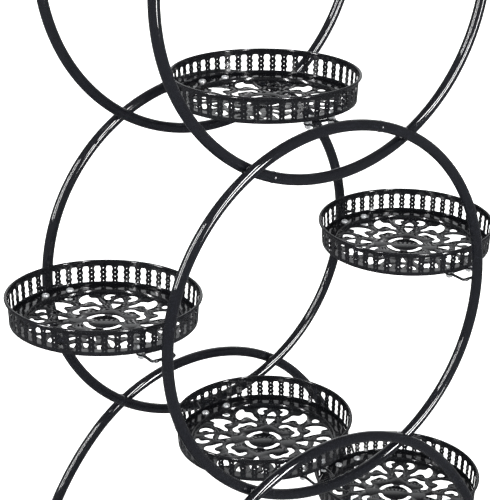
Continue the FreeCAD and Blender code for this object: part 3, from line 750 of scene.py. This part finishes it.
def ring_strip(vertices, faces, low, high):
    """Quads between two rows of vertices of one length, closed round."""
    for k in range(len(low)):
        faces.append((low[k - 1], low[k], high[k], high[k - 1]))


def embossed(radius, turn, floor_top):
    """Height of the floor's outer ring: shallow scallops pressed into it, flat at its edges."""
    share = (radius - RECESS_RADIUS) / (WALL_FOOT - SHEET - RECESS_RADIUS)
    if not 0 < share < 1:
        return floor_top
    scallop = 0.5 + 0.5 * math.cos(OPENINGS / 2 * turn)
    return floor_top + SCALLOP_RISE * math.sin(math.pi * share) ** 2 * (scallop - SCALLOP_LEVEL)


def scroll_floor(tray):
    """Pressed floor: outer ring with shallow scallops, sunk middle with the scroll pattern."""
    top, sunk = WALL_LOW + SHEET, WALL_LOW - RECESS_SINK + SHEET
    edge = RECESS_RADIUS - RECESS_SLOPE - SHEET
    cutouts = floor_cutouts()
    points, faces, loops = fill(circle(edge, FLOOR_STEPS), [widened(c, EDGE_BREAK) for c in cutouts])
    count = len(points)
    vertices = [(x, y, sunk) for x, y in points] + [(x, y, sunk - SHEET) for x, y in points]
    faces = faces + [tuple(count + v for v in reversed(face)) for face in faces]
    for loop, cutout in zip(loops[1:], cutouts):
        rows = []
        for height in (sunk - EDGE_BREAK, sunk - SHEET + EDGE_BREAK):
            rows.append(list(range(len(vertices), len(vertices) + len(cutout))))
            vertices += [(x, y, height) for x, y in cutout]
        under = [count + v for v in loop]
        for low, high in ((loop, rows[0]), (rows[0], rows[1]), (rows[1], under)):
            ring_strip(vertices, faces, low, high)
    foot = WALL_FOOT - SHEET
    profile = [(edge, sunk), (edge + 0.8, sunk + 0.35), (edge + RECESS_SLOPE - 0.4, top - 0.5)]
    profile += [(radius, None)
                for radius in np.linspace(edge + RECESS_SLOPE + 0.2, foot - FLOOR_FILLET, 9)]
    profile += [(foot - FLOOR_FILLET * math.cos(t), top + FLOOR_FILLET * (1 - math.sin(t)))
                for t in np.radians((70, 50, 30, 12, 0))]
    for side, drop in ((1, 0), (-1, SHEET)):
        rows = []
        for radius, height in profile:
            rows.append(list(range(len(vertices), len(vertices) + FLOOR_STEPS)))
            for x, y in circle(radius, FLOOR_STEPS):
                level = height if height is not None else embossed(radius, math.atan2(y, x), top)
                vertices.append((x, y, level - drop))
        for low, high in zip(rows, rows[1:]):
            ring_strip(vertices, faces, *((low, high)[::side]))
    floor = new_object(tray + "_scroll_floor", vertices, faces, scale=MM)
    floor.data.transform(MATRICES[tray])
    return carry(shade(face_outwards(floor), 50.0), TRAY_PAINT, "tray_paint", tray + "_floor")


# ---- brackets and fasteners ------------------------------------------------------------

def eye(name):
    """A flattened wire eye that the screw passes through, about its own middle."""
    outer, hole, half = EYE_DIAMETER / 2, EYE_HOLE / 2, EYE_THICKNESS / 2
    low, high, near, far = -half + EYE_LIP, half - EYE_LIP, hole + EYE_LIP, outer - EYE_LIP
    profile = [(hole, low), (near, -half), (far, -half), (outer, low), (outer, high), (far, half),
               (near, half), (hole, high), (hole, low)]
    return lathe(name, profile, sides=28)


def weld_bar(tray, side):
    """How far the bracket reaches from its tray's middle, and where its welded bar ends."""
    points = in_tray(tray, f"{tray}_{side}_bracket")
    reach = np.abs(points[:, 1]).max() - BRACKET_WIRE / 2
    bar = points[np.abs(points[:, 1]) > reach]
    return reach, bar[:, 0].min(), bar[:, 0].max()


def bracket(tray, side, y_sign):
    """A loop of wire: bar welded to the tube, two arms, a bar between the two screw eyes."""
    node = f"{tray}_{side}_bracket"
    reach, weld_left, weld_right = weld_bar(tray, side)
    eyes = [(x, y) for s, x, y in screw_places(tray) if s == y_sign]
    corners = [(weld_left, y_sign * reach, 0), (weld_right, y_sign * reach, 0),
               (eyes[1][0], eyes[1][1], -EYE_DROP), (eyes[0][0], eyes[0][1], -EYE_DROP)]
    first, second = np.subtract(corners[1], corners[0]), np.subtract(corners[2], corners[1])
    path = np.asarray(rounded(corners, BRACKET_BEND)) * MM
    pieces = [sweep(node + "_wire", path, np.cross(first, second), BRACKET_WIRE / 2 * MM,
                    closed=True, sides=12)]
    for number, (x, y) in enumerate(eyes):
        ring = eye(f"{node}_eye_{number}")
        ring.data.transform(Matrix.Translation((x, y, -EYE_DROP)))
        ring.data.transform(Matrix.Scale(MM, 4))
        pieces.append(face_outwards(ring))
    made = join(node + "_loop", pieces)
    made.data.transform(MATRICES[tray])
    return carry(shade(made), FRAME_PAINT, "frame_paint", node)


def weld_places(tray):
    """Where the bar's two ends are welded to the tube, turned so that +X runs along the bar."""
    places = []
    for side, y_sign in SIDES.items():
        reach, left, right = weld_bar(tray, side)
        for x in (left + WELD_INSET, right - WELD_INSET):
            local = Matrix.Translation(Vector((x, y_sign * (reach + BRACKET_WIRE / 2), 0)) * MM)
            places.append(MATRICES[tray] @ local)
    return places


def weld_bead():
    """A small lumpy fillet weld, about its own middle."""
    bead = bmesh.new()
    bmesh.ops.create_icosphere(bead, subdivisions=2, radius=1.0)
    long, wide, deep = WELD_HALF
    for vertex in bead.verts:
        ripple = 1 + WELD_RIPPLE * math.sin(9 * vertex.co.x)
        vertex.co = Vector((long * vertex.co.x, wide * vertex.co.y * ripple,
                            deep * vertex.co.z * ripple)) * MM
    mesh = bpy.data.meshes.new("weld_bead")
    bead.to_mesh(mesh)
    bead.free()
    return shade(put_in_scene("weld_bead", mesh))


def pan_head_screw(name, head, height, shank, length, sides=24):
    """Domed pan head above the origin with a cross recess, thread below it."""
    top, deep = height * MM, 0.45 * height * MM
    crown_level = 0.97 * top
    radius, thread = head / 2 * MM, shank / 2 * MM
    dome = [(radius, 0.0), (radius, 0.30 * top), (0.95 * radius, 0.62 * top),
            (0.80 * radius, 0.87 * top), (0.62 * radius, crown_level)]
    body = lathe(name, [(0, -length * MM), (0.8 * thread, -length * MM),
                        (thread, (0.5 - length) * MM), (thread, 0.0)] + dome, sides=sides)
    arm, slot = 0.50 * radius, 0.13 * radius
    cross = [(arm, -slot), (arm, slot), (slot, slot), (slot, arm), (-slot, arm), (-slot, slot),
             (-arm, slot), (-arm, -slot), (-slot, -slot), (-slot, -arm), (slot, -arm),
             (slot, -slot)]
    points, faces, loops = fill(circle(dome[-1][0], sides), [cross])
    vertices = [(x, y, crown_level) for x, y in points]
    low = list(range(len(vertices), len(vertices) + len(cross)))
    vertices += [(0.8 * x, 0.8 * y, crown_level - deep) for x, y in cross]
    ring_strip(vertices, faces, loops[1], low)
    faces.append(tuple(low))
    crown = new_object(name + "_crown", vertices, faces)
    return shade(face_outwards(join(name, [body, crown])), 40.0)


def tray_screws(tray):
    """Pan heads on the floor, threads down through the eyes. Each cross stands at its own angle."""
    points = in_tray(tray, tray + "_screws")
    head_foot = WALL_LOW + SHEET
    length = head_foot - points[:, 2].min()
    master = pan_head_screw("tray_screw", SCREW_HEAD, SCREW_HEAD_HEIGHT, SCREW_SHANK, length)
    places = []
    for number, (_, x, y) in enumerate(screw_places(tray)):
        local = (Matrix.Translation(Vector((x, y, head_foot)) * MM)
                 @ Matrix.Rotation(math.radians(37 * number + 11 * len(tray)), 4, "Z"))
        places.append(MATRICES[tray] @ local)
    screws = scatter(tray + "_pan_head_screws", master, places, ZINC)
    return carry(shade(screws, 40.0), ZINC, "zinc", tray + "_screws")


def crossing_screws():
    """Larger pan heads behind the rear tube of each crossing."""
    node = "crossing_screws"
    points = points_of(node)
    places, length = [], 0.0
    for x_sign in (-1, 1):
        for y_sign in (-1, 1):
            for upper in (False, True):
                pick = ((np.sign(points[:, 0]) == x_sign) & (np.sign(points[:, 1]) == y_sign)
                        & ((points[:, 2] > CROSSING_SPLIT) == upper))
                low, high = points[pick].min(0), points[pick].max(0)
                middle = (low + high) / 2
                length = (high[1] - low[1]) / MM - CROSSING_HEAD_HEIGHT
                foot = high[1] - CROSSING_HEAD_HEIGHT * MM
                place = Matrix.Translation((middle[0], foot, middle[2]))
                places.append(place @ Matrix.Rotation(-math.pi / 2, 4, "X")
                              @ Matrix.Rotation(1.1 * x_sign + y_sign + 0.4 * upper, 4, "Z"))
    master = pan_head_screw("crossing_screw", CROSSING_HEAD, CROSSING_HEAD_HEIGHT, CROSSING_SHANK,
                            length)
    screws = scatter("crossing_pan_head_screws", master, places, ZINC)
    return carry(shade(screws, 40.0), ZINC, "zinc", node)


for ring, seam in SEAMS.items():
    ring_tube(ring, seam)
for side in SIDES:
    arch_tube(f"base_arch_{side}")
for side in SIDES:
    for hand in ("left", "right"):
        foot_cap(f"foot_cap_{side}_{hand}")
for tray in TRAYS:
    rolled_rim(tray)
    pierced_wall(tray)
    scroll_floor(tray)
    for side, y_sign in SIDES.items():
        bracket(tray, side, y_sign)
    tray_screws(tray)
    beads = scatter(tray + "_weld_beads", weld_bead(), weld_places(tray), FRAME_PAINT)
    carry(shade(beads), FRAME_PAINT, "frame_paint")
crossing_screws()


def repaint(node, material):
    node_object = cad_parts[node]
    node_object.data.materials.clear()
    node_object.data.materials.append(material)


for node in ("crossing_inserts", "tray_nuts", "tray_washers"):
    repaint(node, ZINC)


# ---- studio ----------------------------------------------------------------------------

def studio_white():
    """Glows white away from the stand and dimmer near it, a painted shade round its feet where the
    lamps' soft shadows also show.
    """
    paint = Paint("studio_white")
    tone = paint.noise(2.0, detail=2.0)
    away = paint.node("ShaderNodeVectorMath", {"operation": "LENGTH"}, {0: paint.place},
                      output="Value")
    # painted shade: the floor's glow drops from 0.90 to 0.60 towards the stand, darkening the floor
    # round its feet
    glow = paint.mix(away.between(0.35, 1.0), (0.60, 0.60, 0.60), (0.90, 0.90, 0.90))
    return paint.finish(Base_Color=paint.mix(tone, (0.80, 0.80, 0.80), (0.79, 0.79, 0.79)),
                        Roughness=0.9, Emission_Color=glow, Emission_Strength=1.0)


def studio():
    """A pale floor that curves up into a pale wall all round."""
    reach, high, curve = 6.0, 5.0, 1.2
    line = [(0, 0.0), (reach - curve, 0.0)]
    line += [(reach - curve + curve * math.sin(t), curve - curve * math.cos(t))
             for t in np.linspace(0, math.pi / 2, 12)[1:]]
    line += [(reach, high)]
    sheet = lathe("studio_sheet", line, sides=96)
    sheet.data.materials.append(studio_white())
    sheet.data.shade_smooth()
    sheet.visible_glossy = False


def lamp(name, place, target, width, height, power):
    light = bpy.data.lights.new(name, "AREA")
    light.shape, light.size, light.size_y, light.energy = "RECTANGLE", width, height, power
    made = put_in_scene(name, light)
    made.location = place
    made.rotation_euler = (Vector(target) - Vector(place)).to_track_quat("-Z", "Y").to_euler()


def seen_from(azimuth_degrees, elevation_degrees, distance):
    """A place about the stand's middle. Azimuth 0 is the camera's own side, 90 its right."""
    turn = math.radians(azimuth_degrees) - CAMERA_YAW
    rise = math.radians(elevation_degrees)
    return (distance * math.cos(rise) * math.sin(turn),
            -distance * math.cos(rise) * math.cos(turn),
            STAND_MIDDLE[2] + distance * math.sin(rise))


def lights():
    for name, (azimuth, elevation, width, height, power) in LAMPS.items():
        lamp(name, seen_from(azimuth, elevation, LAMP_DISTANCE), STAND_MIDDLE, width, height, power)


def air():
    """Dim air with a glow above the horizon behind the stand, which the tubes mirror."""
    world = bpy.data.worlds.new("studio_air")
    bpy.context.scene.world = world
    world.use_nodes = True
    tree, sky = NodeTree(world.node_tree), world.node_tree.nodes["Background"]
    behind = (math.sin(CAMERA_YAW) * math.cos(GLOW_RISE), math.cos(CAMERA_YAW) * math.cos(GLOW_RISE),
              math.sin(GLOW_RISE))
    way = tree.node("ShaderNodeTexCoord", {}, {}, output="Generated")
    facing = tree.node("ShaderNodeVectorMath", {"operation": "DOT_PRODUCT"}, {0: way, 1: behind},
                       output="Value")
    tree.feed(sky.inputs["Strength"], facing.between(*GLOW_EDGES, AIR_STRENGTH, GLOW_STRENGTH))
    tree.feed(sky.inputs["Color"], (0.97, 0.985, 1.0, 1.0))


def camera():
    data = bpy.data.cameras.new("photo_camera")
    data.sensor_width = SENSOR
    data.lens = FOCAL_PIXELS / PICTURE_HEIGHT * SENSOR
    data.shift_x = ((PICTURE_WIDTH - 1) / 2 - CENTRE_X) / PICTURE_HEIGHT
    data.shift_y = (CENTRE_Y - (PICTURE_HEIGHT - 1) / 2) / PICTURE_HEIGHT
    made = put_in_scene("photo_camera", data)
    made.location = CAMERA_PLACE
    made.rotation_euler = (math.pi / 2 - CAMERA_PITCH, 0.0, -CAMERA_YAW)
    bpy.context.scene.camera = made


studio()
lights()
air()
camera()
bpy.context.scene.view_settings.view_transform = "Standard"
